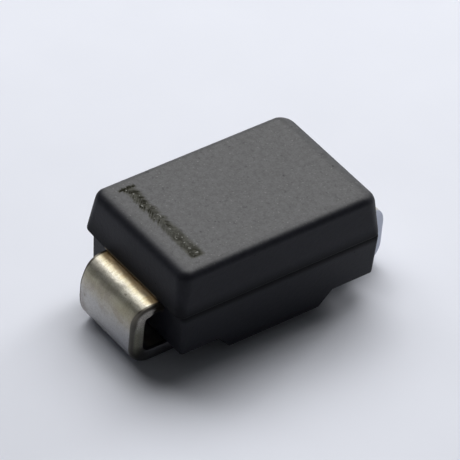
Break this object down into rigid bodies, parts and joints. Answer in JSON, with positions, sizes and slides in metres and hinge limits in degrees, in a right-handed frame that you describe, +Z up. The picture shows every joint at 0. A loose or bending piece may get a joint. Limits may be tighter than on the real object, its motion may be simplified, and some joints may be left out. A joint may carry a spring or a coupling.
{
  "type": "surface-mount tvs diode",
  "caption": "Moulded surface-mount suppressor diode with leads folded under its ends and a polarity band, for clamping voltage surges on a circuit board.",
  "frame": {"origin": "on the board plane under the middle of the leads, which is the bottom centre of the part", "axes": "+X along the body from the cathode end to the anode end, +Y across the body, +Z up from the board"},
  "size_m": [0.0052, 0.0028, 0.0022],
  "materials": {
    "epoxy": "finely eroded matte black epoxy moulding compound",
    "tinned_lead": "satin tin plating over copper strip",
    "silicon": "sawn silicon",
    "solder": "reflowed solder"
  },
  "bodies": {
    "root": {"moulded_body": "epoxy", "cathode_lead": "tinned_lead", "anode_lead": "tinned_lead", "silicon_die": "silicon", "cathode_solder": "solder", "anode_solder": "solder"}
  },
  "joints": []
}
